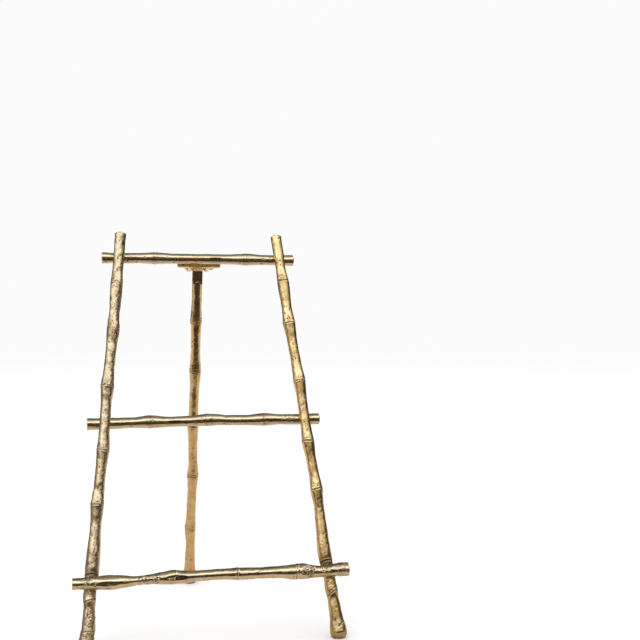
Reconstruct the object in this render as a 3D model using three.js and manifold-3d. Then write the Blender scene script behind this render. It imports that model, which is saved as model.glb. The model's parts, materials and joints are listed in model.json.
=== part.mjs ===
// Folding display stand for a plate or platter, in cast brass shaped as lengths of bamboo.
// Two leaning uprights carry a rail in front, where the plate's rim sits, and two rails behind them.
// A rear leg swings from a stop hinge on the top rail. Screws from behind hold every rail.
// Millimetres, +Z up, the front faces -Y, and the origin is on the floor under the middle of the stand.
import * as THREE from 'three';
import { mergeVertices } from 'three/addons/utils/BufferGeometryUtils.js';
import Module from 'manifold-3d';

const wasm = await Module();
wasm.setup();

// Driving dimensions. The front frame has its own axes: X across, Y straight back, Z up the slope.
const GAP = 0.3; // between any two pieces
const LEAN = THREE.MathUtils.degToRad(18.8); // front frame, back from the vertical
const SPLAY = THREE.MathUtils.degToRad(5); // each upright, outwards towards its foot
const DEPTH = 140; // from the front feet back to the rear foot
const UPRIGHT_LENGTH = 247;
const PLATE_RAIL_AT = 36.6; // heights of the rails up the slope
const MIDDLE_RAIL_AT = 128;
const TOP_RAIL_AT = 232;
const HALF_SPREAD = 66.9; // from the middle to an upright, at the plate rail
const OVERHANG = 10.1; // how far a rail runs past an upright
const LAP = 5.4; // between the axes of an upright and the rail that laps it
const WAIST = 3.1; // radius of the bamboo between its knuckles
const BALL = { radius: 4.85, at: 3.2 }; // the round foot of an upright or leg, and its centre's height
const SPOT = 2.4; // from a bar's axis back to the flat under a screw head
const SCREW = { shank: 1.25, head: 2.2, headHigh: 1.4, slot: 0.7, slotDeep: 0.6, bite: 1.2 };
const HEAD_ROOM = 6; // how far behind its flat a screw's head has room
const PLATE = { thick: 2, width: 27, height: 8.4, screwAt: 10.3 };
const HINGE = { behind: 15.6, ear: 4.2, earThick: 2.4, tongueHalf: 3, bore: 1.8, neck: 14 };
const WASHER = { radius: 3.3, thick: 0.8 };
const BOLT = { shank: 1.5, head: 2.9, headHigh: 1.7, nut: 3.1, nutThick: 2.4, dome: 1.8 };

const SIDES = 12; // round a bar
const STEP = 4.6; // longest step along a bar
const CUTTER = { side: 40, long: 20, wide: 10 }; // bodies that only cut are at least this large

const castBrass = new THREE.MeshStandardMaterial({ color: 0xb39462, roughness: 0.32, metalness: 1 });
const fittingBrass = new THREE.MeshStandardMaterial({ color: 0xc7a25c, roughness: 0.24, metalness: 1 });

// Shape lying in the plane of Y and Z, or a bar along Z, turned so that it runs along X.
const ALONG_X = new THREE.Matrix4().makeBasis(
  new THREE.Vector3(0, 1, 0),
  new THREE.Vector3(0, 0, 1),
  new THREE.Vector3(1, 0, 0),
);

// A closed geometry as a solid that can be joined and cut.
function solid(geometry) {
  const bare = geometry.clone();
  bare.deleteAttribute('normal');
  bare.deleteAttribute('uv');
  const merged = mergeVertices(bare, 1e-4);
  const corners = Array.from(merged.index.array);
  const triangles = [];
  for (let i = 0; i < corners.length; i += 3) {
    const triangle = corners.slice(i, i + 3);
    if (new Set(triangle).size === 3) triangles.push(...triangle);
  }
  return new wasm.Manifold(new wasm.Mesh({
    numProp: 3,
    vertProperties: Float32Array.from(merged.attributes.position.array),
    triVerts: Uint32Array.from(triangles),
  }));
}

function meshOf(body, name, material) {
  const { vertProperties, triVerts } = body.getMesh();
  const geometry = new THREE.BufferGeometry();
  geometry.setAttribute('position', new THREE.BufferAttribute(vertProperties, 3));
  geometry.setIndex(new THREE.BufferAttribute(triVerts, 1));
  const mesh = new THREE.Mesh(geometry, material.clone());
  mesh.name = name;
  return mesh;
}

// A turned piece standing along +Z: the profile's points are [radius, height], and it closes on the axis.
function turned(profile, sides = SIDES) {
  const points = profile.map(([radius, height]) => new THREE.Vector2(radius, height));
  return new THREE.LatheGeometry(points, sides).rotateX(Math.PI / 2);
}

function rod(radius, from, to, sides = SIDES) {
  return turned([[0, from], [radius, from], [radius, to], [0, to]], sides);
}

function box(width, depth, height, x, y, z) {
  return new THREE.BoxGeometry(width, depth, height).translate(x, y, z);
}

// The stations of a knuckle: where it is along the bar, its radius, and how far it strays off the axis.
function knuckle(at, radius, stray = 0, waist = WAIST) {
  return [[at - 9, waist, stray * 0.5], [at, radius, stray], [at + 10, waist, stray * 0.5]];
}

// A cast bar along +Z. Its radius and its stray, towards +Y, ease from each station to the next.
// The bar starts in a ball foot where footed is true, and otherwise both ends are cut square.
// With spare it is that much larger all over, which is the room that it needs in another piece.
function bamboo(stations, footed, spare = 0) {
  const rings = [];
  stations.forEach(([at, radius, stray = 0], i) => {
    const [fromAt, fromRadius, fromStray = 0] = stations[Math.max(i - 1, 0)];
    const steps = Math.max(Math.ceil((at - fromAt) / STEP), 1);
    for (let step = 1; step <= steps; step += 1) {
      const part = step / steps;
      const ease = THREE.MathUtils.smoothstep(part, 0, 1);
      rings.push({
        at: THREE.MathUtils.lerp(fromAt, at, part),
        radius: THREE.MathUtils.lerp(fromRadius, radius, ease) + spare,
        stray: THREE.MathUtils.lerp(fromStray, stray, ease),
      });
    }
  });
  const [first, last] = [rings[0], rings[rings.length - 1]];
  const ball = [-65, -42, -20].map((degrees) => {
    const angle = THREE.MathUtils.degToRad(degrees);
    return [BALL.radius * Math.cos(angle), BALL.at + BALL.radius * Math.sin(angle)];
  });
  const start = footed
    ? [[0, BALL.at - BALL.radius], ...ball]
    : [[0, first.at - spare], [first.radius, first.at - spare]];
  const end = [[last.radius, last.at + spare], [0, last.at + spare]];
  const geometry = turned([...start, ...rings.map(({ at, radius }) => [radius, at]), ...end]);
  const position = geometry.attributes.position;
  for (let i = 0; i < position.count; i += 1) {
    const at = THREE.MathUtils.clamp(position.getZ(i), first.at, last.at);
    const ring = rings.findLast((each) => each.at <= at + 1e-6);
    position.setY(i, position.getY(i) + ring.stray);
  }
  return geometry;
}

// Front frame: two uprights, three rails and their screws.
const frontFrame = new THREE.Group();
frontFrame.position.set(0, -DEPTH / 2, 0);
frontFrame.rotation.x = -LEAN;
frontFrame.updateMatrixWorld(true);

const footX = HALF_SPREAD + PLATE_RAIL_AT * Math.tan(SPLAY);
const uprightX = (height) => footX - height * Math.tan(SPLAY);

// What is left of a body above the floor, for a body in the axes of its group.
function aboveFloor(body, group, x, y) {
  const { side } = CUTTER;
  const ground = box(side, side, side, x, y, -side / 2).applyMatrix4(group.matrixWorld.clone().invert());
  return body.subtract(solid(ground));
}

const foot = [[BALL.at, BALL.radius], [5.2, 4.7], [7.4, 4.3], [10, 3.8]];
const uprights = [
  {
    name: 'left_upright',
    side: -1,
    stations: [
      ...foot, [14, 3.7, 0.5], [20, 3.45, 0.2], [25.2, 3, -0.1], [29.8, 3.55, -0.3], [37, 3.35, -0.3],
      [46, 3.9, -0.2], ...knuckle(80, 3.9, -0.4), ...knuckle(111, 3.7, 0.3), ...knuckle(149, 3.9, -0.3),
      ...knuckle(184, 3.75, 0.4), [212, 3.7, 0.2], [222, 3.1],
      [UPRIGHT_LENGTH - 5, 3.3], [UPRIGHT_LENGTH, 3.5],
    ],
  },
  {
    name: 'right_upright',
    side: 1,
    stations: [
      ...foot, [13, 3.65], [17.5, 3.55, -0.1], [21.8, 3.15, -0.2], [26.6, 3.7, -0.3], [31.5, 3.25, -0.4],
      [37, 3.3, -0.6], [45.5, 3.95, -1], ...knuckle(84, 3.8, 0.3), ...knuckle(113, 3.8, -0.2),
      ...knuckle(151, 3.8, 0.4), ...knuckle(188, 3.9, -0.3), [215, 3.7], [224, 3.1],
      [UPRIGHT_LENGTH - 6, 3.35], [UPRIGHT_LENGTH, 3.45],
    ],
  },
];

// Rails: height up the slope, in front (-1) or behind (1), and stations from the left end.
const railHalf = (height) => uprightX(height) + OVERHANG;
const rails = [
  {
    name: 'plate_rail',
    at: PLATE_RAIL_AT,
    side: -1,
    stations: [
      [0, 3.1, 1], [6, 3.05, 0.95], [14, 3.7, 0.9], [19.5, 4.05, 0.85], [24, 3.8, 0.75], [32, 2.65, 0.8],
      [37, 2.4, 1], [44, 2.75, 1.3], [53, 4, 1.65], [59, 3.6, 1.4], [66, 2.95, 1.6], [82, 2.9, 1.65],
      [92, 3.35, 1.2], [103, 3, 1.15], [112, 3.3, 0.95], [121, 4.05, 0.65], [128.5, 4.4, 0.65],
      [134.5, 3.25, 0], [140, 3, -0.1], [144, 3.4, 0.1], [149, 3.95, 0.45],
      [2 * railHalf(PLATE_RAIL_AT), 3.85, 0.35],
    ],
  },
  {
    name: 'middle_rail',
    at: MIDDLE_RAIL_AT,
    side: 1,
    stations: [
      [0, 3.4], [11, 3.3], ...knuckle(36, 3.9, 0.6), ...knuckle(70, 3.7, 1), ...knuckle(104, 3.9, 0.4),
      [128, 3.2], [2 * railHalf(MIDDLE_RAIL_AT), 3.4],
    ],
  },
  {
    name: 'top_rail',
    at: TOP_RAIL_AT,
    side: 1,
    stations: [
      [0, 3.5], [10, 3.2], ...knuckle(32, 3.8, 0.3, 3.2), ...knuckle(89, 3.85, 0.2, 3.2),
      [110, 3.3], [2 * railHalf(TOP_RAIL_AT), 3.5],
    ],
  },
];

function railSolid(rail, spare) {
  const bar = bamboo(rail.stations, false, spare).applyMatrix4(ALONG_X);
  return solid(bar.translate(-railHalf(rail.at), rail.side * LAP, rail.at));
}

// Screws go in from behind. seat is the flat under the head and tip is the far end, both along Y.
const railScrews = rails.flatMap((rail) => [-1, 1].map((side) => ({
  name: `${rail.name}_screw_${side < 0 ? 'left' : 'right'}`,
  x: side * uprightX(rail.at),
  height: rail.at,
  seat: (rail.side < 0 ? 0 : LAP) + SPOT,
  tip: (rail.side < 0 ? -LAP : 0) - SCREW.bite,
  twist: side * 0.5 + rail.at * 0.01,
})));
const plateBack = LAP + SPOT + GAP + PLATE.thick;
const plateScrews = [-1, 1].map((side) => ({
  name: `hinge_bracket_screw_${side < 0 ? 'left' : 'right'}`,
  x: side * PLATE.screwAt,
  height: TOP_RAIL_AT,
  seat: plateBack,
  tip: LAP - SCREW.bite,
  twist: side * 0.7,
}));
const screws = [...railScrews, ...plateScrews];

function screwMesh({ name, x, height, seat, tip, twist }) {
  const { shank, head, headHigh, slot, slotDeep } = SCREW;
  const under = seat + GAP;
  const body = solid(turned([
    [0, tip - under], [shank * 0.6, tip - under], [shank, tip - under + 0.5], [shank, 0], [head, 0],
    [head, headHigh * 0.45], [head * 0.75, headHigh * 0.85], [0, headHigh],
  ], 10));
  const cut = solid(box(head * 2.4, slot, slotDeep * 2, 0, 0, headHigh));
  const mesh = meshOf(body.subtract(cut), name, fittingBrass);
  mesh.position.set(x, under, height);
  mesh.rotation.set(-Math.PI / 2, 0, twist, 'XYZ');
  return mesh;
}

// The hole that a screw needs: a bore for its shank, and room for its head down to the flat.
function screwHole({ x, height, seat, tip }) {
  const bore = solid(rod(SCREW.shank + GAP, tip - GAP, seat + GAP, 10));
  const room = solid(rod(SCREW.head + GAP, seat, seat + HEAD_ROOM, 16));
  const turn = new THREE.Matrix4().makeRotationX(-Math.PI / 2).setPosition(x, 0, height);
  return bore.add(room).transform(turn.elements);
}

const railBodies = rails.map((rail) => {
  let body = railSolid(rail, 0);
  for (const each of screws) body = body.subtract(screwHole(each));
  return body;
});
const { long, wide } = CUTTER;
const bracketFlat = box(PLATE.width + 2 * GAP, wide, long, 0, LAP + SPOT + wide / 2, TOP_RAIL_AT);
railBodies[2] = railBodies[2].subtract(solid(bracketFlat));
rails.forEach((rail, i) => frontFrame.add(meshOf(railBodies[i], rail.name, castBrass)));

for (const { name, side, stations } of uprights) {
  const bar = bamboo(stations, true).rotateZ(-Math.PI / 2).rotateY(-side * SPLAY);
  bar.translate(side * footX, 0, 0);
  let body = aboveFloor(solid(bar), frontFrame, side * footX, -DEPTH / 2);
  for (const rail of rails) body = body.subtract(railSolid(rail, GAP));
  for (const each of railScrews) body = body.subtract(screwHole(each));
  frontFrame.add(meshOf(body, name, castBrass));
}
for (const each of screws) frontFrame.add(screwMesh(each));

// Hinge bracket: a plate on the top rail with two ears, which hold the bolt.
const earInside = HINGE.tongueHalf + WASHER.thick + 2 * GAP;
const earOutside = earInside + HINGE.earThick;

function bracketBody() {
  let body = solid(box(PLATE.width, PLATE.thick, PLATE.height, 0, plateBack - PLATE.thick / 2, 0));
  const reach = HINGE.behind - plateBack + PLATE.thick / 2;
  for (const side of [-1, 1]) {
    const x = side * (earInside + earOutside) / 2;
    const web = box(HINGE.earThick, reach, HINGE.ear * 2, x, HINGE.behind - reach / 2, 0);
    const round = rod(HINGE.ear, -HINGE.earThick / 2, HINGE.earThick / 2, 20)
      .applyMatrix4(ALONG_X).translate(x, HINGE.behind, 0);
    body = body.add(solid(web)).add(solid(round));
  }
  const bore = rod(HINGE.bore, -earOutside - 1, earOutside + 1, 16)
    .applyMatrix4(ALONG_X).translate(0, HINGE.behind, 0);
  body = body.subtract(solid(bore)).translate([0, 0, TOP_RAIL_AT]);
  for (const each of plateScrews) body = body.subtract(screwHole(each));
  return body;
}
frontFrame.add(meshOf(bracketBody(), 'hinge_bracket', fittingBrass));

// Bolt, nut and washers lie along X on the hinge's axis.
const hingeAxis = new THREE.Group();
hingeAxis.position.set(0, HINGE.behind, TOP_RAIL_AT);
frontFrame.add(hingeAxis);
const boltFrom = -earOutside - GAP;
const nutFrom = earOutside + GAP;
const bolt = turned([
  [0, boltFrom - BOLT.headHigh], [BOLT.head * 0.6, boltFrom - BOLT.headHigh * 0.85],
  [BOLT.head, boltFrom - BOLT.headHigh * 0.4], [BOLT.head, boltFrom], [BOLT.shank, boltFrom],
  [BOLT.shank, nutFrom + BOLT.nutThick], [0, nutFrom + BOLT.nutThick],
], 16).applyMatrix4(ALONG_X);
const hexagon = rod(BOLT.nut, nutFrom, nutFrom + BOLT.nutThick, 6);
const dome = turned([
  [0, nutFrom + 1], [BOLT.nut * 0.82, nutFrom + 1], [BOLT.nut * 0.82, nutFrom + BOLT.nutThick + 0.2],
  [BOLT.nut * 0.6, nutFrom + BOLT.nutThick + BOLT.dome * 0.7], [0, nutFrom + BOLT.nutThick + BOLT.dome],
], 12);
const nutBore = rod(HINGE.bore, nutFrom - 1, nutFrom + BOLT.nutThick + GAP, 12);
const nut = solid(hexagon.applyMatrix4(ALONG_X)).add(solid(dome.applyMatrix4(ALONG_X)))
  .subtract(solid(nutBore.applyMatrix4(ALONG_X)));
hingeAxis.add(meshOf(solid(bolt), 'hinge_bolt', fittingBrass));
hingeAxis.add(meshOf(nut, 'hinge_cap_nut', fittingBrass));
for (const [name, side] of [['hinge_washer_left', -1], ['hinge_washer_right', 1]]) {
  const middle = side * (HINGE.tongueHalf + GAP + WASHER.thick / 2);
  const [from, to] = [middle - WASHER.thick / 2, middle + WASHER.thick / 2];
  const ring = turned([
    [HINGE.bore, from], [WASHER.radius, from], [WASHER.radius, to], [HINGE.bore, to], [HINGE.bore, from],
  ], 16).applyMatrix4(ALONG_X);
  hingeAxis.add(meshOf(solid(ring), name, fittingBrass));
}

// Rear leg, in axes with the hinge at the origin and the leg down -Z. Its tongue carries a square heel
// that meets the bracket's plate when the leg is open.
frontFrame.updateMatrixWorld(true);
const hingePoint = new THREE.Vector3().setFromMatrixPosition(hingeAxis.matrixWorld);
const legTilt = Math.atan2(DEPTH / 2 - hingePoint.y, hingePoint.z);
const legLength = hingePoint.z / Math.cos(legTilt);
const rearLeg = new THREE.Group();
rearLeg.position.copy(hingePoint);
rearLeg.rotation.x = legTilt;
rearLeg.updateMatrixWorld(true);

const legStations = [
  ...foot, [14, 3.5], [22, 3.2], ...knuckle(40, 3.8, 0.4), ...knuckle(78, 3.9, -0.3),
  ...knuckle(112, 3.8, 0.4), ...knuckle(150, 3.9, -0.2), ...knuckle(184, 3.75, 0.1), [legLength - 10, 3.2],
];

function legBody() {
  const bar = bamboo(legStations, true).rotateZ(Math.PI / 2).translate(0, 0, -legLength);
  const tongue = 2 * HINGE.tongueHalf;
  const round = rod(HINGE.ear, -HINGE.tongueHalf, HINGE.tongueHalf, 20).applyMatrix4(ALONG_X);
  const neck = box(tongue, tongue, HINGE.neck, 0, 0, -HINGE.neck / 2);
  const heelReach = HINGE.behind - plateBack - GAP;
  const heel = box(tongue, heelReach, HINGE.ear, 0, -heelReach / 2, HINGE.ear / 2)
    .rotateX(-(LEAN + legTilt));
  const bore = rod(HINGE.bore, -HINGE.neck, HINGE.neck, 16).applyMatrix4(ALONG_X);
  const body = [bar, round, neck, heel].map(solid).reduce((whole, part) => whole.add(part));
  return aboveFloor(body.subtract(solid(bore)), rearLeg, 0, DEPTH / 2);
}
rearLeg.add(meshOf(legBody(), 'rear_leg', castBrass));

const stand = new THREE.Group();
stand.add(frontFrame, rearLeg);

export default stand;
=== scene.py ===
import json
import math
import bpy
import numpy as np
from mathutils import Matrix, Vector

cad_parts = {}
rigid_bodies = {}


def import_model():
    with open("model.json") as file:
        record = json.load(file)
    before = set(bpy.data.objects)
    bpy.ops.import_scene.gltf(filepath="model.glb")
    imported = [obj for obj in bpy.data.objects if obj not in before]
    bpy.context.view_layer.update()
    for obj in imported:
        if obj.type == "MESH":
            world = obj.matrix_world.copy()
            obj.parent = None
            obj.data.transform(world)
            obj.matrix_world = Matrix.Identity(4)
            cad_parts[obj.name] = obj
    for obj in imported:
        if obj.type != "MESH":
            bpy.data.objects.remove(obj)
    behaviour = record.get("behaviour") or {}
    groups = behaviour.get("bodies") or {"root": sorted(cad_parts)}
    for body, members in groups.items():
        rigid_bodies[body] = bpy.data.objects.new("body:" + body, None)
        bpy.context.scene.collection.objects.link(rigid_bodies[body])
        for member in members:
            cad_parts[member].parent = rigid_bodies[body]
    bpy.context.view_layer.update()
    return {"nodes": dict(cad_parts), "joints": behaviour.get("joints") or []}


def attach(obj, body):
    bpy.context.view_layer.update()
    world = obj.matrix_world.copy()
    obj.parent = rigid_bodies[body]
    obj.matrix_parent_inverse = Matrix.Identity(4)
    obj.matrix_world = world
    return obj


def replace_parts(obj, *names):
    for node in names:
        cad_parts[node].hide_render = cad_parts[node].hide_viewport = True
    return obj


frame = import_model()
mm = 0.001
leg = frame["joints"][0]  # the rear leg's fold
hingePoint = np.array(leg["pos_m"])


def cadPoints(node):
    mesh = frame["nodes"][node].data
    points = np.empty(len(mesh.vertices) * 3)
    mesh.vertices.foreach_get("co", points)
    return points.reshape(-1, 3)


def cadEdges(node):
    mesh = frame["nodes"][node].data
    ends = np.empty(len(mesh.edges) * 2, int)
    mesh.edges.foreach_get("vertices", ends)
    return cadPoints(node)[ends.reshape(-1, 2)]


def unit(vector):
    return vector / np.linalg.norm(vector)


def longWay(node, towards):
    # middle of a bar and the direction it runs in, which is the widest spread of its corners
    points = cadPoints(node)
    middle = (points.min(0) + points.max(0)) / 2
    direction = np.linalg.svd(points - points.mean(0), full_matrices=False)[2][0]
    return middle, direction * np.sign(direction @ np.array(towards))


def measureBar(node, towards, step=0.5 * mm):
    # planes across the bar, a step apart, cut the edges of its solid: each plane's points give a centre
    # and a radius, and a plane that meets a saddle, a bore or the floor isn't round, so it is left out
    middle, direction = longWay(node, towards)
    edges = cadEdges(node)
    along = (edges - middle) @ direction
    stations = np.arange(along.min() + 0.3 * mm, along.max() - 0.2 * mm, step)
    near, far = along[:, 0], along[:, 1]
    met = (near[None] - stations[:, None]) * (far[None] - stations[:, None]) < 0
    part = (stations[:, None] - near) / np.where(met, far - near, 1)
    count = met.sum(1)
    crossing = edges[None, :, 0] + part[..., None] * (edges[None, :, 1] - edges[None, :, 0])
    centre = (crossing * met[..., None]).sum(1) / count[:, None]
    away = np.linalg.norm(crossing - centre[:, None], axis=-1)
    widest = np.where(met, away, 0).max(1)
    narrowest = np.where(met, away, 1).min(1)
    whole = (widest - narrowest) < 0.09 * widest
    line = dict(at=stations[whole], centre=centre[whole], radius=widest[whole])
    line.update(direction=direction, start=along.min(), end=along.max())
    return line


def eased(values, width):
    # running mean with a bell-shaped weight, width stations to each side, ends held
    bell = np.exp(-np.linspace(-2, 2, 2 * width + 1) ** 2)
    padded = np.pad(values, (width, width), mode="edge")
    return np.convolve(padded, bell / bell.sum(), mode="valid")


def latticeNoise(points, size, seed):
    # random numbers on a cubic lattice of that size, blended between its corners by a smooth step
    table = np.random.default_rng(seed).uniform(-1, 1, (31, 31, 31))
    scaled = points / size + 50
    cell = np.floor(scaled).astype(int)
    part = scaled - cell
    ease = part * part * (3 - 2 * part)
    total = np.zeros(points.shape[:-1])
    for corner in np.ndindex(2, 2, 2):
        weight = np.where(corner, ease, 1 - ease).prod(-1)
        index = (cell + corner) % 31
        total += weight * table[index[..., 0], index[..., 1], index[..., 2]]
    return total


def smoothstep(value, low, high):
    part = np.clip((value - low) / (high - low), 0, 1)
    return part * part * (3 - 2 * part)


def bell(off, wide, power=2):
    # 1 at the middle and fading to both sides over that width, with a flatter top for a higher power
    return np.exp(-(off / wide) ** power)


def turnAway(angle, turn):
    # how far each angle is from a turn, the short way round
    return (angle - turn + np.pi) % (2 * np.pi) - np.pi


def knuckleRings(at, angle, look, points):
    # each knuckle's leaf scar: a raised lip beside a cut, on a ring that tilts and wanders. Returns the
    # height that they add, and how deep the cut is, from 0 to 1
    height = np.zeros(points.shape[:2])
    depth = np.zeros(points.shape[:2])
    draw = np.random.default_rng(look["seed"])
    wander = latticeNoise(points, 2.5 * mm, look["seed"] + 1)
    patch = latticeNoise(points, 3.5 * mm, look["seed"] + 2)
    rings = [(place, draw.uniform(0.1, 0.6), draw.uniform(0, 2 * np.pi), draw.uniform(0.6, 1))
             for place in look["rings"]]
    for place, tilt, turn, strong in rings + list(look.get("marks", ())):
        off = at - place * mm - tilt * mm * np.cos(angle - turn) - 0.35 * mm * wander
        strength = np.clip(strong - 0.35 + 0.7 * patch, 0.05, 1)
        lip = bell(off - 0.6 * mm, 0.45 * mm) + 0.5 * bell(off + 0.6 * mm, 0.5 * mm)
        cut = bell(off, look["cutWide"]) * strength
        height += look["lip"] * lip * min(strong, 1) - look["cut"] * cut
        depth = np.maximum(depth, cut)
    for place, turn, reach, slant in look.get("cracks", ()):
        away = turnAway(angle, turn)
        off = at - place * mm - slant * mm * away / reach - 0.5 * mm * wander
        crack = bell(off, look["cutWide"]) * bell(away, reach, 4)
        height -= look["cut"] * crack
        depth = np.maximum(depth, crack)
    return height, depth


def castCrust(at, look, points):
    # coarse broken skin: lightly past each knuckle, and heavily where the casting was left rough
    zones = [(place + 1.8, 1.7, 0.5) for place in look["rings"]] + list(look.get("rough", ()))
    crust = np.zeros(points.shape[:2])
    for place, wide, strong in zones:
        crust = np.maximum(crust, strong * bell(at - place * mm, wide * mm, 4))
    crust *= np.clip(0.75 + 0.6 * latticeNoise(points, 3 * mm, look["seed"] + 12), 0.2, 1)
    coarse = latticeNoise(points, 0.85 * mm, look["seed"] + 3)
    coarse += 0.9 * latticeNoise(points, 0.45 * mm, look["seed"] + 4)
    return crust * look["crust"] * coarse, crust * np.clip(-1.1 * coarse - 0.12, 0, 1), crust


def castFlats(at, angle, girth, look):
    # places where the side is flat: the surface stays inside a plane that bows out towards both ends, so
    # that each flat has the outline of a spindle
    height = np.zeros((at.shape[0], angle.shape[1]))
    for place, turn, long, deep in look.get("flats", ()):
        facing = np.cos(angle - turn)
        plane = girth - deep * mm * (1 - ((at - place * mm) / (long * mm)) ** 2)
        height = np.where(facing > 0.5, np.minimum(height, plane / np.maximum(facing, 0.5) - girth), height)
    return height


def castPits(at, angle, girth, look, span):
    # small round craters scattered along the bar, each a bell-shaped dip
    height = np.zeros((at.shape[0], angle.shape[1]))
    draw = np.random.default_rng(look["seed"] + 5)
    for _ in range(look["pits"]):
        place, turn = draw.uniform(*span), draw.uniform(0, 2 * np.pi)
        wide, deep = draw.uniform(0.22, 0.5) * mm, draw.uniform(0.3, 1)
        stretch = draw.uniform(1, 2.2)
        rows = np.flatnonzero(np.abs(at[:, 0] - place) < 3 * wide * stretch)
        dip = bell(at[rows] - place, wide * stretch) * bell(turnAway(angle, turn) * girth[rows], wide)
        height[rows] = np.maximum(height[rows], deep * dip)
    return height


def barRelief(at, angle, girth, look):
    # how far the cast surface stands off the smooth bar: lumps, hammered facets, knuckles, dents and pits
    points = np.stack(np.broadcast_arrays(at, girth * np.cos(angle), girth * np.sin(angle)), -1)
    lumps = latticeNoise(points, 5.5 * mm, look["seed"] + 6)
    dimples = latticeNoise(points * [0.8, 1, 1], 2.3 * mm, look["seed"] + 7)
    facets = latticeNoise(points * [0.35, 1, 1], 2.4 * mm, look["seed"] + 9)
    grain = latticeNoise(points * [0.7, 1, 1], 0.7 * mm, look["seed"] + 10)
    rings, depth = knuckleRings(at, angle, look, points)
    broken, holes, crust = castCrust(at, look, points)
    pits = castPits(at, angle, girth, look, (at.min(), at.max()))
    height = rings + broken + castFlats(at, angle, girth, look) - look["pitDeep"] * pits
    for size, unevenness in (("lump", lumps), ("dimple", dimples), ("facet", facets), ("grain", grain)):
        height += look[size] * unevenness
    # painted shade: a darker brown stands in for shade and dark reflections on a leg's outer side, on the
    # upper side of a rail and where the bars lap, and it is painted darker towards a foot
    dull = smoothstep(look["outer"] * np.sin(angle) + 0.25 * lumps + 0.15 * dimples, 0.45, 0.95)
    if look["footed"]:
        dull = np.maximum(dull, 0.6 - 0.6 * smoothstep(at + 1.2 * mm * lumps, 1 * mm, 5.5 * mm))
    for place, wide, strong in look.get("laps", ()):
        dull = np.maximum(dull, strong * bell(at - place * mm + mm * dimples, wide * mm, 4))
    hollow = np.clip(np.maximum(np.maximum(depth, holes), pits), 0, 1)
    return height, [hollow, crust, dull]


shades = ("hollow", "crust", "dull", "sawn")  # what each point of a bar tells its material


def fillMesh(name, points, faces, body, values=None):
    mesh = bpy.data.meshes.new(name)
    mesh.from_pydata(points.tolist(), [], faces)
    mesh.shade_smooth()
    for key, value in (values or {}).items():
        layer = mesh.attributes.new(key, "FLOAT", "POINT")
        layer.data.foreach_set("value", value.astype(np.float32).ravel())
    piece = bpy.data.objects.new(name, mesh)
    bpy.context.scene.collection.objects.link(piece)
    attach(piece, body)
    return piece


def quadsBetween(grid):
    # quads between neighbouring rows of point numbers, each row closed on itself
    turned = np.roll(grid, -1, axis=1)
    return np.stack([grid[:-1], turned[:-1], turned[1:], grid[1:]], -1).reshape(-1, 4).tolist()


def tubeFaces(rings, around, first=0):
    # quads between the rings, and a fan at each end to the two poles that follow the rings
    grid = first + np.arange(rings * around).reshape(rings, around)
    pole = first + rings * around
    nearFan = np.stack([np.full(around, pole), np.roll(grid[0], -1), grid[0]], -1)
    farFan = np.stack([np.full(around, pole + 1), grid[-1], np.roll(grid[-1], -1)], -1)
    return quadsBetween(grid) + nearFan.tolist() + farFan.tolist()


def withPoles(rings):
    # the rings' points in a row, then the middle of the first ring and of the last
    return np.vstack([rings.reshape(-1, 3), rings[0].mean(0), rings[-1].mean(0)])


def crossAxes(direction, side):
    # two directions across a bar, so that side, across, direction are right-handed
    across = unit(np.cross(direction, side))
    return np.cross(across, direction), across


print("frame measured")


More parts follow.
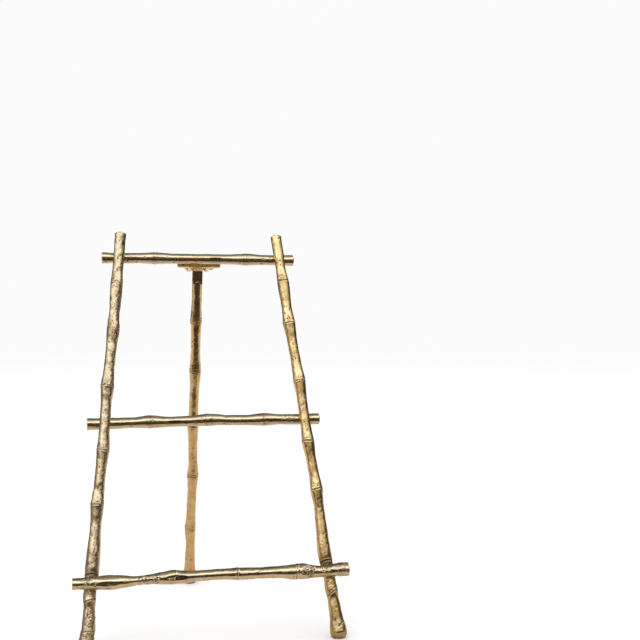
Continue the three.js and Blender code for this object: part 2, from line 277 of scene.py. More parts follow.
# places and sizes in millimetres, along a bar from its foot or its left end, and turns in radians round
# it, from its back by its upper side or its left; rings are plain knuckles, and marks have a tilt and turn
barLooks = {
    "plate_rail": dict(
        seed=11, towards=(1, 0, 0), footed=False, outer=1, fine=0.21, around=128, lump=0.1, dimple=0.11,
        facet=0.06, grain=0.016, lip=0.3, cut=0.2, cutWide=0.24, crust=0.22, pits=130, pitDeep=0.1,
        finish="rail", rings=(),
        marks=((54.5, 0.3, 2.2, 0.5), (89.5, 0.2, 4, 1), (123.3, 0.3, 1.2, 1), (138, 0.5, 1.2, 0.5)),
        rough=((9, 4.5, 0.6), (41, 7, 0.8), (56, 6, 0.15), (129.5, 5.5, 1), (141, 3, 0.6), (150, 5, 0.5)),
        flats=((18.7, 3.45, 5.6, 0.25), (56, 3.3, 6.2, 0.3), (129.5, 3.5, 3.6, 0.24), (88, 3.45, 4, 0.1),
               (144.5, 3.4, 3.2, 0.1))),
    "left_upright": dict(
        seed=23, towards=(0, 0, 1), footed=True, outer=1, lump=0.1, dimple=0.13, facet=0.13, grain=0.035,
        lip=0.15, cut=0.34, cutWide=0.34, crust=0.2, pits=650, pitDeep=0.16, finish="rough",
        rings=(12, 80, 111, 149, 184, 213), laps=((40.5, 4.5, 0.9),),
        marks=((28.6, 1.4, 4.7, 1.3), (41.5, 0.8, 3.1, 1.3)),
        rough=((10, 5, 0.8), (20, 8, 0.45), (37, 6, 0.8)), flats=((32.5, 2.75, 5, 0.18),)),
    "right_upright": dict(
        seed=37, towards=(0, 0, 1), footed=True, outer=-1, lump=0.1, dimple=0.06, facet=0.09, grain=0.016,
        lip=0.14, cut=0.34, cutWide=0.36, crust=0.18, pits=380, pitDeep=0.19, finish="leg",
        rings=(84, 113, 151, 188, 216), laps=((40.5, 4.5, 0.9), (9, 5, 0.45)),
        marks=((25.2, 1.9, 4.9, 1.4), (41.5, 1.2, 3.3, 1.3)),
        rough=((7, 2.5, 0.5), (30, 3, 0.7), (40, 4.5, 1)), cracks=((7.4, 3.5, 0.55, 1.4),)),
    "middle_rail": dict(
        seed=41, towards=(1, 0, 0), footed=False, outer=1, lump=0.09, dimple=0.055, facet=0.05, grain=0.012,
        lip=0.16, cut=0.16, cutWide=0.24, crust=0.14, pits=150, pitDeep=0.12, finish="rail",
        rings=(35, 69, 103), rough=((118, 5, 0.7),), flats=((50, 3.4, 5, 0.12),)),
    "top_rail": dict(
        seed=53, towards=(1, 0, 0), footed=False, outer=1, lump=0.09, dimple=0.055, facet=0.05, grain=0.012,
        lip=0.16, cut=0.16, cutWide=0.24, crust=0.14, pits=120, pitDeep=0.12, finish="rail",
        rings=(31, 88), rough=((15, 4, 0.7),), flats=((70, 3.4, 5, 0.12),)),
    "rear_leg": dict(
        seed=67, towards=(0, 0, 1), footed=True, outer=0.5, lump=0.1, dimple=0.06, facet=0.1, grain=0.02,
        lip=0.14, cut=0.3, cutWide=0.32, crust=0.14, pits=300, pitDeep=0.16, finish="leg",
        rings=(40, 78, 112, 150, 184)),
}
for look in barLooks.values():
    for size in ("lump", "dimple", "facet", "grain", "lip", "cut", "cutWide", "crust", "pitDeep"):
        look[size] *= mm

ballHigh = 3.2 * mm  # from the floor to a foot's widest ring, along the bar

bars = {name: measureBar(name, look["towards"]) for name, look in barLooks.items()}
upSlope = unit(bars["left_upright"]["direction"] + bars["right_upright"]["direction"])
back = np.cross(upSlope, (1, 0, 0))  # straight back through the leaning frame
back = back * np.sign(back[1])


def wornEdge(spread, fromEnd):
    # the edge of a sawn end is rounded over its last half millimetre
    edge = 0.5 * mm
    inside = np.clip(1 - fromEnd / edge, 0, 1)
    return spread - edge * 0.8 * (1 - np.sqrt(1 - inside ** 2))


def capEnd(centre, grids, outwards, near):
    # four more rings draw in across the end, a little proud, and are marked as sawn
    last = 0 if near else -1
    shrink = np.array([0.93, 0.75, 0.5, 0.25])
    middles = centre[last] + np.outer(np.array([0.02, 0.05, 0.07, 0.08]) * mm, outwards)
    drawnIn = np.outer(shrink, grids[0][last])
    ends = [drawnIn, *[np.zeros_like(drawnIn)] * 3, np.ones_like(drawnIn)]
    if near:
        return np.vstack([middles[::-1], centre]), [np.vstack([e[::-1], g]) for e, g in zip(ends, grids)]
    return np.vstack([centre, middles]), [np.vstack([g, e]) for e, g in zip(ends, grids)]


def barSurface(name):
    # the bar's centre line and girth at fine stations, swept by a circle whose radius carries the relief
    look, line = barLooks[name], bars[name]
    fine, around = look.get("fine", 0.28) * mm, look.get("around", 96)
    direction = line["direction"]
    coarse = np.arange(line["start"], line["end"], 0.5 * mm)
    girth = eased(np.interp(coarse, line["at"], line["radius"]), 4)
    middle = np.stack([eased(np.interp(coarse, line["at"], line["centre"][:, i]), 6) for i in range(3)], -1)
    # the centre's own place along the bar is put back, because easing holds it still at the ends
    base = line["centre"][0] - direction * line["at"][0]
    low, high = line["start"], line["end"]
    if name == "rear_leg":  # the tongue takes over short of the hinge
        high = (hingePoint - base) @ direction - 10 * mm
    ball = None
    if look["footed"]:
        nearFoot = line["at"] < line["start"] + 9 * mm
        ball = line["at"][nearFoot][line["radius"][nearFoot].argmax()], line["radius"][nearFoot].max()
        low = ball[0] - ball[1] * math.cos(0.12)
    at = np.linspace(low, high, int((high - low) / fine))[:, None]
    angle = np.linspace(0, 2 * np.pi, around, endpoint=False)[None]
    radius = np.interp(at[:, 0], coarse, girth)[:, None]
    if ball:
        dome = np.sqrt(np.clip(ball[1] ** 2 - (at - ball[0]) ** 2, 0, None))
        radius = np.where(at < ball[0], dome, np.maximum(radius, dome * (at < ball[0] + 2 * mm)))
    # a foot's places count from the floor, and the measured line from a little above or below it
    origin = ball[0] - ballHigh if ball else line["start"]
    height, marks = barRelief(at - origin, angle, np.maximum(radius, mm), look)
    centre = np.stack([np.interp(at[:, 0], coarse, middle[:, i]) for i in range(3)], -1)
    centre += np.outer(at[:, 0] - (centre - base) @ direction, direction)
    side, across = crossAxes(direction, back)
    height *= smoothstep(radius, 0, 2 * mm)
    grids = [radius + height, *marks, np.zeros_like(height)]
    if not ball:  # a bar with no foot is sawn off square at the near end too
        grids[0] = wornEdge(grids[0], at - low)
        centre, grids = capEnd(centre, grids, -direction, near=True)
    bare = slice(0 if ball else 4, None)  # all but the four rings of a near end
    grids[0][bare] = wornEdge(grids[0][bare], high - at)
    centre, grids = capEnd(centre, grids, direction, near=False)
    spread, *values = grids
    ring = np.cos(angle)[..., None] * side + np.sin(angle)[..., None] * across
    points = centre[:, None] + spread[..., None] * ring
    points[..., 2] = np.maximum(points[..., 2], 0)
    return points, values


def seatBars(points):
    # where an upright would run into a rail that laps it, its surface is pressed back to the rail's girth
    for rail in ("plate_rail", "middle_rail", "top_rail"):
        line = bars[rail]
        along = (points - line["centre"][0]) @ line["direction"] + line["at"][0]
        middle = np.stack([np.interp(along, line["at"], line["centre"][:, i]) for i in range(3)], -1)
        middle += ((points - middle) @ line["direction"])[..., None] * line["direction"]
        reach = np.interp(along, line["at"], line["radius"]) + 0.06 * mm
        off = points - middle
        far = np.linalg.norm(off, axis=-1)
        inside = far < reach
        points = np.where(inside[..., None], middle + off / far[..., None] * reach[..., None], points)
    return points


def makeBar(name, body):
    points, values = barSurface(name)
    if name.endswith("upright"):
        points = seatBars(points)
    values = {key: np.append(value, [0, 0]) for key, value in zip(shades, values)}
    faces = tubeFaces(*points.shape[:2])
    piece = fillMesh(name + "_cast", withPoles(points), faces, body, values)
    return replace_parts(piece, name)


frameBody, legBody = leg["parent"], leg["child"]
barPieces = {name: makeBar(name, legBody if name == "rear_leg" else frameBody) for name in barLooks}
print("bars cast")

# flat pieces: the hinge bracket's plate and ears, and the leg's tongue
bracketSizes = dict(plateWide=27 * mm, plateHigh=8.4 * mm, plateThick=2 * mm, plateAhead=5.5 * mm,
                    ear=4.2 * mm, earThick=2.4 * mm, earInside=4.4 * mm, bore=1.8 * mm, edge=0.45 * mm)
tongueSizes = dict(round=4.2 * mm, half=3 * mm, neckHalf=2.7 * mm, neckLong=12.5 * mm, heelAhead=5.2 * mm,
                   heelUp=4.2 * mm, bore=1.8 * mm, edge=0.6 * mm)


def slab(reach, centre, axes, thick, edge, bore, around=180):
    # a flat piece whose outline is reach, a distance for each angle round its centre. Its section is a
    # rectangle with rounded corners, carried round the angle from the bore, or from the middle if bore is 0
    angle = np.linspace(0, 2 * np.pi, around, endpoint=False)
    out = reach(angle)
    turn = np.linspace(0, np.pi / 2, 6)
    low, high = edge - edge * np.cos(turn), thick - edge + edge * np.sin(turn)
    share, offset, height = [0.4, 0.8], [0, 0], [0, 0]
    share += [1] * 12 + [0.8, 0.4]
    offset += [*(edge * np.sin(turn) - edge), *(edge * np.cos(turn) - edge), 0, 0]
    height += [*low, *high, thick, thick]
    if bore:
        share += [0] * 12
        offset += [*(edge - edge * np.sin(turn)), *(edge - edge * np.cos(turn))]
        height += [*(thick - edge + edge * np.cos(turn)), *(edge - edge * np.sin(turn))]
    share, offset, height = (np.array(each)[:, None] for each in (share, offset, height))
    radius = bore + share * (out[None] - bore) + offset
    first, second, third = axes
    flat = np.cos(angle)[:, None] * first + np.sin(angle)[:, None] * second
    return centre + radius[..., None] * flat + height[..., None] * third


def ringFaces(rings, around, first=0):
    # quads round a closed section as well as round the piece
    grid = first + np.arange(rings * around).reshape(rings, around)
    return quadsBetween(np.vstack([grid, grid[:1]]))


def joined(shells):
    # several grids as one mesh: a shell with a bore closes on itself and the others close on two poles
    points, faces, first = [], [], 0
    for rings, bored in shells:
        count, around = rings.shape[:2]
        points.append(rings.reshape(-1, 3) if bored else withPoles(rings))
        faces += ringFaces(count, around, first) if bored else tubeFaces(count, around, first)
        first += len(points[-1])
    return np.vstack(points), faces


def earReach(angle):
    # round behind the bolt, square in front of it as far as the plate
    sizes = bracketSizes
    ahead = np.clip(-np.cos(angle), 1e-6, 1)
    beside = np.clip(np.abs(np.sin(angle)), 1e-6, 1)
    square = np.minimum((sizes["plateAhead"] + 0.3 * mm) / ahead, sizes["ear"] / beside)
    return np.where(np.cos(angle) >= 0, sizes["ear"], square)


def plateReach(angle):
    # a rectangle with rounded corners, as a superellipse of a high power
    wide, high = bracketSizes["plateWide"] / 2, bracketSizes["plateHigh"] / 2
    return (np.abs(np.cos(angle) / wide) ** 14 + np.abs(np.sin(angle) / high) ** 14) ** (-1 / 14)


right = np.array([1.0, 0, 0])


def makeBracket():
    sizes = bracketSizes
    shells = []
    for side in (-1, 1):
        middle = side * (sizes["earInside"] + sizes["earThick"] / 2) - sizes["earThick"] / 2
        centre = hingePoint + right * middle
        shells.append((slab(earReach, centre, (back, upSlope, right), sizes["earThick"], sizes["edge"],
                            sizes["bore"]), True))
    front = hingePoint - back * sizes["plateAhead"]
    plate = slab(plateReach, front, (right, -upSlope, -back), sizes["plateThick"], sizes["edge"], 0, 360)
    shells.append((plate, False))
    points, faces = joined(shells)
    points += 0.05 * mm * latticeNoise(points, 4 * mm, 5)[:, None] * back
    piece = fillMesh("hinge_bracket_filed", points, faces, frameBody)
    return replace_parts(piece, "hinge_bracket")


def tongueReach(angle):
    # the farthest of three shapes: a round about the bolt, the neck down the leg, and the square heel
    sizes = tongueSizes
    down = np.clip(-np.sin(angle), 1e-6, 1)
    neck = np.minimum(sizes["neckLong"] / down, sizes["neckHalf"] / np.clip(np.abs(np.cos(angle)), 1e-6, 1))
    neck = np.where(np.sin(angle) < 0, neck, 0)
    lean = math.atan2(back @ legUp, back @ legBack)  # the frame's own back, seen in the leg's axes
    ahead = -np.cos(angle - lean)
    up = np.sin(angle - lean)
    heel = np.minimum(sizes["heelAhead"] / np.clip(ahead, 1e-6, 1), sizes["heelUp"] / np.clip(up, 1e-6, 1))
    heel = np.where((ahead > -0.02) & (up > -0.02), heel, 0)
    reach = np.maximum(sizes["round"], np.maximum(neck, heel))
    return eased(np.tile(reach, 3), 4)[len(reach):2 * len(reach)]


footMiddle = bars["rear_leg"]["centre"][:20].mean(0)
legUp = unit((hingePoint - footMiddle) * [0, 1, 1])
legBack = np.cross(legUp, right)


def makeTongue():
    sizes = tongueSizes
    start = hingePoint - right * sizes["half"]
    axes = (legBack, legUp, right)
    rings = slab(tongueReach, start, axes, 2 * sizes["half"], sizes["edge"], sizes["bore"], 360)
    points, faces = joined([(rings, True)])
    points += 0.07 * mm * latticeNoise(points, 3 * mm, 8)[:, None] * legBack
    values = {key: np.zeros(len(points)) for key in shades}
    piece = fillMesh("rear_leg_tongue", points, faces, legBody, values)
    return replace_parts(piece, "rear_leg")


bracket = makeBracket()
barPieces["tongue"] = makeTongue()

# turned pieces: screws, bolt, cap nut and washers
screwSizes = dict(head=2.2 * mm, high=1.4 * mm, shank=1.25 * mm, slot=0.7 * mm, slotDeep=0.6 * mm)
boltSizes = dict(head=2.9 * mm, high=1.7 * mm, shank=1.5 * mm, seat=7.1 * mm, nut=3.1 * mm,
                 nutThick=2.4 * mm, dome=1.8 * mm, washer=3.3 * mm, washerThick=0.8 * mm, washerAt=3.3 * mm)


def roundedPath(corners, radius, steps=6):
    # each inner corner of a path is replaced by a short curve that begins and ends radius away from it
    path = [np.array(corners[0])]
    for before, corner, after in zip(*(np.array(corners[i:len(corners) - 2 + i]) for i in range(3))):
        reach = min(radius, 0.45 * np.linalg.norm(corner - before), 0.45 * np.linalg.norm(after - corner))
        start, end = corner + unit(before - corner) * reach, corner + unit(after - corner) * reach
        part = np.linspace(0, 1, steps)[:, None]
        path.extend((1 - part) ** 2 * start + 2 * part * (1 - part) * corner + part ** 2 * end)
    return np.vstack([path, [corners[-1]]])


def evenly(path, spacing):
    # the same path with a point about every spacing along it
    gone = np.append(0, np.cumsum(np.linalg.norm(np.diff(path, axis=0), axis=1)))
    places = np.linspace(0, gone[-1], int(gone[-1] / spacing) + 2)
    return np.stack([np.interp(places, gone, path[:, i]) for i in range(2)], -1)


def revolved(path, centre, direction, around=72):
    # a path of (radius, height) turned about the direction
    side, across = crossAxes(direction, unit(upSlope + 0.3 * right))
    angle = np.linspace(0, 2 * np.pi, around, endpoint=False)
    ring = np.cos(angle)[:, None] * side + np.sin(angle)[:, None] * across
    return centre + path[:, :1, None] * ring + path[:, 1:, None] * direction


def turnedPiece(node, rings, values=None):
    faces = tubeFaces(*rings.shape[:2])
    piece = fillMesh(node + "_turned", withPoles(rings), faces, frameBody, values)
    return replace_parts(piece, node)


def makeScrew(node):
    # an oval head with a slot cut across it, and its shank; the slot turns with the screw's place
    sizes = screwSizes
    points = cadPoints(node)
    heights = points @ back
    middle = (points.min(0) + points.max(0)) / 2
    top, tip = heights.max(), heights.min()
    middle += back * (top - sizes["high"] - middle @ back)
    quarter = np.linspace(0, np.pi / 2, 40)
    head = np.stack([sizes["head"] * np.sin(quarter), sizes["high"] * (0.25 + 0.75 * np.cos(quarter))], -1)
    long = top - sizes["high"] - tip
    under = roundedPath([(sizes["head"], sizes["high"] * 0.25), (sizes["head"], 0), (sizes["shank"], 0),
                         (sizes["shank"], -long), (0.1 * mm, -long)], 0.15 * mm)
    path = evenly(np.vstack([head[2:], under[1:]]), 0.07 * mm)[::-1]
    rings = revolved(path, middle, back, 120)
    slotWay = unit(np.cross(back, unit(right + upSlope * math.sin(middle[0] * 90 + middle[2] * 40))))
    fromSlot = np.abs((rings - middle) @ np.cross(slotWay, back))
    height = (rings - middle) @ back
    floor = sizes["high"] - sizes["slotDeep"]
    inSlot = smoothstep(sizes["slot"] / 2 + 0.06 * mm - fromSlot, 0, 0.12 * mm)
    lowered = np.where(height > floor, floor + (height - floor) * (1 - inSlot), height)
    rings += (lowered - height)[..., None] * back
    return turnedPiece(node, rings, {"hollow": np.append((inSlot * (height > floor)).ravel(), [0, 0])})


def makeBolt():
    sizes = boltSizes
    quarter = np.linspace(0.03, np.pi / 2, 24)
    head = np.stack([sizes["head"] * np.sin(quarter), -sizes["high"] * (0.35 + 0.65 * np.cos(quarter))], -1)
    shank = roundedPath([(sizes["head"], -0.35 * sizes["high"]), (sizes["head"], 0), (sizes["shank"], 0),
                         (sizes["shank"], 2 * sizes["seat"] + sizes["nutThick"]),
                         (0.1 * mm, 2 * sizes["seat"] + sizes["nutThick"])], 0.2 * mm)
    path = np.vstack([head, shank[1:]])
    return turnedPiece("hinge_bolt", revolved(path, hingePoint - right * sizes["seat"], right))


def makeNut():
    # six flats under a dome: the radius is the smaller of the turned path and a hexagon
    sizes = boltSizes
    quarter = np.linspace(0, np.pi / 2 - 0.03, 20)
    top = sizes["nutThick"] + 0.1 * mm
    base = roundedPath([(0.1 * mm, 0), (sizes["nut"] * 0.96, 0), (sizes["nut"] * 1.01, 0.25 * mm),
                        (sizes["nut"] * 1.01, sizes["nutThick"] - 0.5 * mm), (sizes["nut"] * 0.84, top),
                        (sizes["nut"] * 0.78, top)], 0.12 * mm)
    dome = [sizes["nut"] * 0.78 * np.cos(quarter), top + sizes["dome"] * 0.95 * np.sin(quarter)]
    path = evenly(np.vstack([base, np.stack(dome, -1)[1:]]), 0.12 * mm)
    centre = hingePoint + right * sizes["seat"]
    rings = revolved(path, centre, right, 144)
    off = rings - centre
    across = off - (off @ right)[..., None] * right
    far = np.linalg.norm(across, axis=-1)
    turn = np.arctan2(across @ upSlope, across @ back)
    flat = sizes["nut"] * math.cos(math.pi / 6)
    hexagon = flat / np.cos((turn + np.pi / 6) % (np.pi / 3) - np.pi / 6)
    rings -= across * (1 - np.minimum(1, hexagon / np.maximum(far, 1e-9)))[..., None]
    return turnedPiece("hinge_cap_nut", rings)


def washerReach(angle):
    return np.full_like(angle, boltSizes["washer"])


def makeWasher(node, side):
    sizes = boltSizes
    inner = sizes["washerAt"] if side > 0 else -sizes["washerAt"] - sizes["washerThick"]
    rings = slab(washerReach, hingePoint + right * inner, (back, upSlope, right), sizes["washerThick"],
                 0.18 * mm, bracketSizes["bore"], 96)
    points, faces = joined([(rings, True)])
    piece = fillMesh(node + "_turned", points, faces, frameBody)
    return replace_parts(piece, node)


fittings = [bracket, makeBolt(), makeNut()]
fittings += [makeWasher("hinge_washer_left", -1), makeWasher("hinge_washer_right", 1)]
fittings += [makeScrew(node) for node in frame["nodes"] if "screw" in node]
print("fittings turned")


class Wire:
    # one value in a node tree: arithmetic on it adds Math nodes, and add() makes any other node
    def __init__(self, tree, socket=None):
        self.tree, self.socket = tree, socket

    def add(self, kind, settings=None, inputs=None, output=0):
        node = self.tree.nodes.new("ShaderNode" + kind)
        for key, value in (settings or {}).items():
            if key == "stops":
                ends = node.color_ramp.elements
                ends[0].position, ends[1].position = value[0][0], value[-1][0]
                for place, _ in value[1:-1]:
                    ends.new(place)
                for stop, (_, colour) in zip(ends, value):
                    stop.color = (*colour, 1)
            else:
                setattr(node, key, value)
        for key, value in (inputs or {}).items():
            if isinstance(value, Wire):
                self.tree.links.new(value.socket, node.inputs[key])
            else:
                node.inputs[key].default_value = value
        return Wire(self.tree, node.outputs[output] if len(node.outputs) else None)

    def math(self, operation, first, second=0.0, clamped=False):
        return self.add("Math", {"operation": operation, "use_clamp": clamped}, {0: first, 1: second})

    def __add__(self, other):
        return self.math("ADD", self, other)

    def __sub__(self, other):
        return self.math("SUBTRACT", self, other)

    def __rsub__(self, other):
        return self.math("SUBTRACT", other, self)

    def __mul__(self, other):
        return self.math("MULTIPLY", self, other)

    __radd__, __rmul__ = __add__, __mul__

    def clip(self):
        return self.math("ADD", self, 0.0, clamped=True)

    def between(self, low, high):
        # 0 below low, 1 above high, and a straight rise between them
        return ((self - low) * (1 / (high - low))).clip()

    def blend(self, first, second):
        # first colour where this value is 0, second where it is 1
        return self.add("Mix", {"data_type": "RGBA"}, {0: self, 6: first, 7: second}, 2)


def noise(wire, place, size, detail=2.0, rough=0.5, warp=0.0):
    inputs = {"Vector": place, "Scale": 1 / size, "Detail": detail, "Roughness": rough, "Distortion": warp}
    return wire.add("TexNoise", {}, inputs)


def colour(red, green, blue):
    return (red, green, blue, 1)


def newMaterial(name):
    made = bpy.data.materials.new(name)
    made.use_nodes = True
    made.node_tree.nodes.clear()
    return made, Wire(made.node_tree)


def finishMaterial(wire, base, roughness, bump, distance):
    normal = wire.add("Bump", {}, {"Height": bump, "Strength": 1.0, "Distance": distance})
    shader = wire.add("BsdfPrincipled", {}, {"Base Color": base, "Roughness": roughness, "Metallic": 1.0,
                                             "Normal": normal})
    wire.add("OutputMaterial", {}, {"Surface": shader})


# each cast finish also sets how strongly its painted shade darkens it
castFinishes = {
    "rail": dict(rough=0.07, mottle=0.07, stain=0.3, pitted=0.3, dull=0.8, bump=0.03 * mm,
                 pale=colour(0.68, 0.54, 0.35), warm=colour(0.62, 0.44, 0.26)),
    "leg": dict(rough=0.18, mottle=0.11, stain=0.2, pitted=0.7, dull=0.85, bump=0.05 * mm,
                pale=colour(0.66, 0.48, 0.25), warm=colour(0.60, 0.38, 0.16)),
    "rough": dict(rough=0.22, mottle=0.15, stain=0.55, pitted=1.0, dull=0.85, bump=0.07 * mm,
                  pale=colour(0.56, 0.44, 0.28), warm=colour(0.56, 0.38, 0.24)),
}
tarnish = colour(0.10, 0.062, 0.024)


def castBrass(name, look):
    # polished casting: pale and warm patches, brown tarnish in pits and cuts, painted shade in a darker
    # brown, and a finely pitted skin
    made, wire = newMaterial(name)
    place = wire.add("TexCoord", {}, {}, 3)
    hollow = wire.add("Attribute", {"attribute_name": "hollow"}, {}, 2)
    crust = wire.add("Attribute", {"attribute_name": "crust"}, {}, 2)
    dull = wire.add("Attribute", {"attribute_name": "dull"}, {}, 2)
    sawn = wire.add("Attribute", {"attribute_name": "sawn"}, {}, 2)
    patches = noise(wire, place, 7 * mm, 3, 0.6).between(0.38, 0.66)
    mottle = noise(wire, place, 1.3 * mm, 4, 0.6)
    speck = wire.add("TexVoronoi", {}, {"Vector": place, "Scale": 1 / (0.8 * mm)})
    gate = noise(wire, place, 2.6 * mm, 2).between(0.62 - 0.14 * look["pitted"], 0.72)
    pits = (1 - speck.between(0.1, 0.3)) * gate
    stain = noise(wire, place, 3.4 * mm, 4, 0.65, 0.6).between(0.56, 0.74) * look["stain"]
    dirt = (hollow * 1.1 + pits * 0.9 + crust * mottle.between(0.45, 0.65) * 0.45 + stain).clip()
    metal = patches.blend(look["pale"], look["warm"])
    metal = (mottle.between(0.5, 0.8) * look["mottle"] * 3).clip().blend(metal, colour(0.44, 0.29, 0.16))
    # painted shade: the darker brown where the bar lies in shade or reflects dark surroundings
    metal = (dull * look["dull"]).blend(metal, colour(0.17, 0.12, 0.07))
    base = dirt.blend(metal, tarnish)
    fine = noise(wire, place, 0.35 * mm, 3, 0.6)
    roughness = look["rough"] + (mottle - 0.5) * look["mottle"] * 2
    roughness = (roughness + dirt * 0.3 + dull * 0.1 + crust * 0.12 + sawn * 0.2).clip()
    saw = wire.add("TexWave", {"bands_direction": "Z"}, {"Vector": place, "Scale": 220.0, "Distortion": 1.5})
    height = fine * 0.5 + mottle * 0.8 - pits * 1.6 + sawn * saw * 1.2
    finishMaterial(wire, base, roughness, height, look["bump"])
    return made


def turnedBrass(name):
    # machined brass with faint turning lines, dull in the slot and handled bright on top
    made, wire = newMaterial(name)
    place = wire.add("TexCoord", {}, {}, 3)
    hollow = wire.add("Attribute", {"attribute_name": "hollow"}, {}, 2)
    cloud = noise(wire, place, 3 * mm, 3, 0.6)
    scratch = noise(wire, place, 0.5 * mm, 4, 0.7, 1.5)
    dirt = (hollow * 0.85 + cloud.between(0.55, 0.72) * 0.45).clip()
    metal = cloud.between(0.3, 0.7).blend(colour(0.72, 0.55, 0.32), colour(0.58, 0.4, 0.2))
    base = dirt.blend(metal, tarnish)
    roughness = (0.2 + scratch.between(0.4, 0.7) * 0.12 + dirt * 0.3).clip()
    finishMaterial(wire, base, roughness, scratch + cloud * 0.5, 0.02 * mm)
    return made


castSkins = {key: castBrass("cast_brass_" + key, look) for key, look in castFinishes.items()}
fittingSkin = turnedBrass("turned_brass")
for name, piece in barPieces.items():
    piece.data.materials.append(castSkins[barLooks[name]["finish"] if name in barLooks else "leg"])
for piece in fittings:
    piece.data.materials.append(fittingSkin)
print("finishes made")

studio = dict(lens=56.25, eye=0.55, turn=13.44, aside=57.1 * mm, high=179.8 * mm, frontFeet=-70 * mm,
              seen=0.97, fill=1.08, behind=0.2)
floorLook = dict(half=6.0, grain=0.3, pale=colour(0.9, 0.9, 0.9), paler=colour(0.89, 0.89, 0.89))
reflectionSheetLook = dict(front=-4.0, back=0.16, half=4.0, high=0.4 * mm, fade=(-0.17, -0.11), grain=0.05,
                 dark=colour(0.022, 0.018, 0.012), darkish=colour(0.032, 0.026, 0.018),
                 grey=colour(0.7, 0.65, 0.59))
lamps = dict(overhead=dict(place=(0, 0.2, 2.2), target=(0, 0, 0), size=(3, 3), power=8),
             key=dict(place=(-0.9, -1.1, 1.5), target=(0, 0, 0.1), size=(0.8, 0.8), power=3))


def makeSheet(name, front, back, half, high):
    mesh = bpy.data.meshes.new(name)
    corners = [(-half, front, high), (half, front, high), (half, back, high), (-half, back, high)]
    mesh.from_pydata(corners, [], [(0, 1, 2, 3)])
    sheet = bpy.data.objects.new(name, mesh)
    bpy.context.scene.collection.objects.link(sheet)
    return sheet


def makeFloor():
    look = floorLook
    floor = makeSheet("floor", -look["half"], look["half"], look["half"], 0)
    made, wire = newMaterial("pale_floor")
    place = wire.add("TexCoord", {}, {}, 3)
    tone = noise(wire, place, look["grain"], 2).blend(look["pale"], look["paler"])
    sheen = {"Base Color": tone, "Roughness": 1.0, "Specular IOR Level": 0.0}
    wire.add("OutputMaterial", {}, {"Surface": wire.add("BsdfPrincipled", {}, sheen)})
    floor.data.materials.append(made)


# what the brass sees at each height, from 0 straight down by 0.5 at the horizon to 1 straight up
roomTones = [(0.0, (0.6, 0.6, 0.6)), (0.485, (0.5, 0.5, 0.5)), (0.5, (0.03, 0.025, 0.015)),
             (0.625, (0.03, 0.025, 0.015)), (0.655, (0.5, 0.42, 0.3)), (0.685, (0.75, 0.68, 0.54)),
             (0.73, (0.75, 0.76, 0.72)), (0.77, (1.0, 1.08, 1.1)), (0.81, (2.1, 2.35, 2.5)),
             (0.89, (2.1, 2.35, 2.5)), (0.945, (0.9, 0.94, 0.94)), (1.0, (0.55, 0.57, 0.57))]


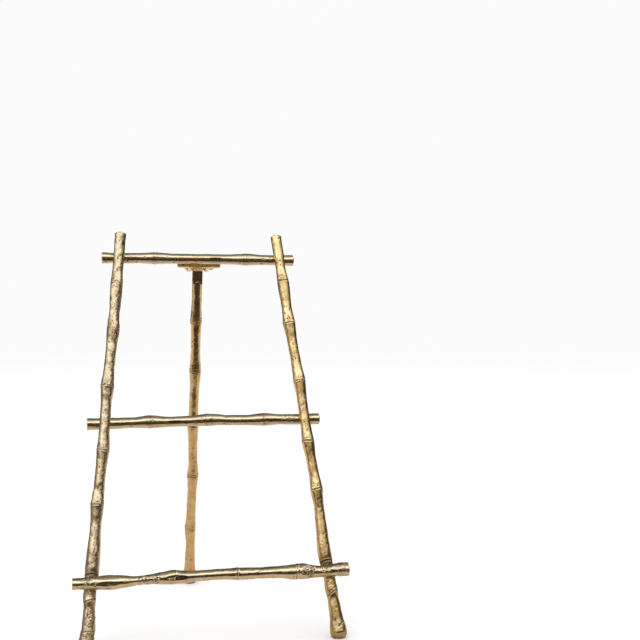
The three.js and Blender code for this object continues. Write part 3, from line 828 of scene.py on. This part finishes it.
def makeWorld():
    # a pale room seen in the brass: dark round the horizon, warm just above it, then white up to a bright
    # ceiling in front, with everything behind the stand dimmer. The camera and the floor see one plain tone
    world = bpy.data.worlds.new("studio")
    bpy.context.scene.world = world
    world.use_nodes = True
    world.node_tree.nodes.clear()
    wire = Wire(world.node_tree)
    way = wire.add("TexCoord", {}, {}, 0)
    height = wire.add("SeparateXYZ", {}, {0: way}, 2)
    depth = wire.add("SeparateXYZ", {}, {0: way}, 1)
    side = wire.add("SeparateXYZ", {}, {0: way}, 0)
    aside = side.math("ABSOLUTE", side)
    lift = side.between(-0.2, -0.8) * 0.22 - side.between(0.4, 0.9) * 0.1
    room = wire.add("ValToRGB", {"stops": roomTones}, {0: (height + lift) * 0.5 + 0.5})
    middle = depth.between(-0.2, 0.4) * (1 - aside.between(0.35, 0.7))
    dim = middle.blend(colour(1, 1, 1), colour(*[studio["behind"]] * 3))
    both = wire.add("Mix", {"data_type": "RGBA", "blend_type": "MULTIPLY"}, {0: 1.0, 6: room, 7: dim}, 2)
    seenInBrass = wire.add("Background", {}, {"Color": both, "Strength": 1.0})
    direct = wire.add("LightPath", {}, {}, 0)
    seen = wire.add("Background", {}, {"Color": colour(1, 1, 1), "Strength": studio["seen"]})
    fill = wire.add("Background", {}, {"Color": colour(1, 1, 1), "Strength": studio["fill"]})
    plain = wire.add("MixShader", {}, {0: direct, 1: fill, 2: seen})
    glossy = wire.add("LightPath", {}, {}, 3)
    surface = wire.add("MixShader", {}, {0: glossy, 1: plain, 2: seenInBrass})
    wire.add("OutputWorld", {}, {"Surface": surface})


def makeFlag():
    # a sheet on the floor, seen only as a reflection: grey under the stand as a painted dimmer floor, and
    # dark in front of it as a painted dark reflection
    look = reflectionSheetLook
    flag = makeSheet("flag", look["front"], look["back"], look["half"], look["high"])
    made, wire = newMaterial("painted_reflection_sheet")
    place = wire.add("TexCoord", {}, {}, 3)
    tone = noise(wire, place, look["grain"], 3).blend(look["dark"], look["darkish"])
    ahead = wire.add("SeparateXYZ", {}, {0: place}, 1)
    tone = ahead.between(*look["fade"]).blend(tone, look["grey"])
    shader = wire.add("BsdfPrincipled", {}, {"Base Color": tone, "Roughness": 0.9})
    wire.add("OutputMaterial", {}, {"Surface": shader})
    flag.data.materials.append(made)
    for kind in ("camera", "diffuse", "shadow", "transmission"):
        setattr(flag, "visible_" + kind, False)


def makeLamp(name, place, target, size, power):
    # a soft panel that lights the floor and isn't mirrored in the brass
    lamp = bpy.data.lights.new(name, "AREA")
    lamp.shape, lamp.size, lamp.size_y, lamp.energy = "RECTANGLE", *size, power
    piece = bpy.data.objects.new(name, lamp)
    piece.location = place
    piece.rotation_euler = Vector(np.array(target) - place).to_track_quat("-Z", "Y").to_euler()
    piece.visible_glossy = False
    bpy.context.scene.collection.objects.link(piece)


def makeCamera():
    turn = math.radians(studio["turn"])
    forward = np.array([math.sin(turn), math.cos(turn), 0])
    side = np.array([math.cos(turn), -math.sin(turn), 0])
    place = -studio["eye"] * forward + studio["aside"] * side + [0, studio["frontFeet"], studio["high"]]
    lens = bpy.data.cameras.new("camera")
    lens.lens, lens.sensor_width, lens.clip_start, lens.clip_end = studio["lens"], 36, 0.01, 50
    camera = bpy.data.objects.new("camera", lens)
    camera.location = place
    camera.rotation_euler = Vector(forward).to_track_quat("-Z", "Y").to_euler()
    bpy.context.scene.collection.objects.link(camera)
    bpy.context.scene.camera = camera


makeFloor()
makeWorld()
makeCamera()
makeFlag()
for name, lamp in lamps.items():
    makeLamp(name, **lamp)
bpy.context.scene.view_settings.view_transform = "Standard"
print("studio set")
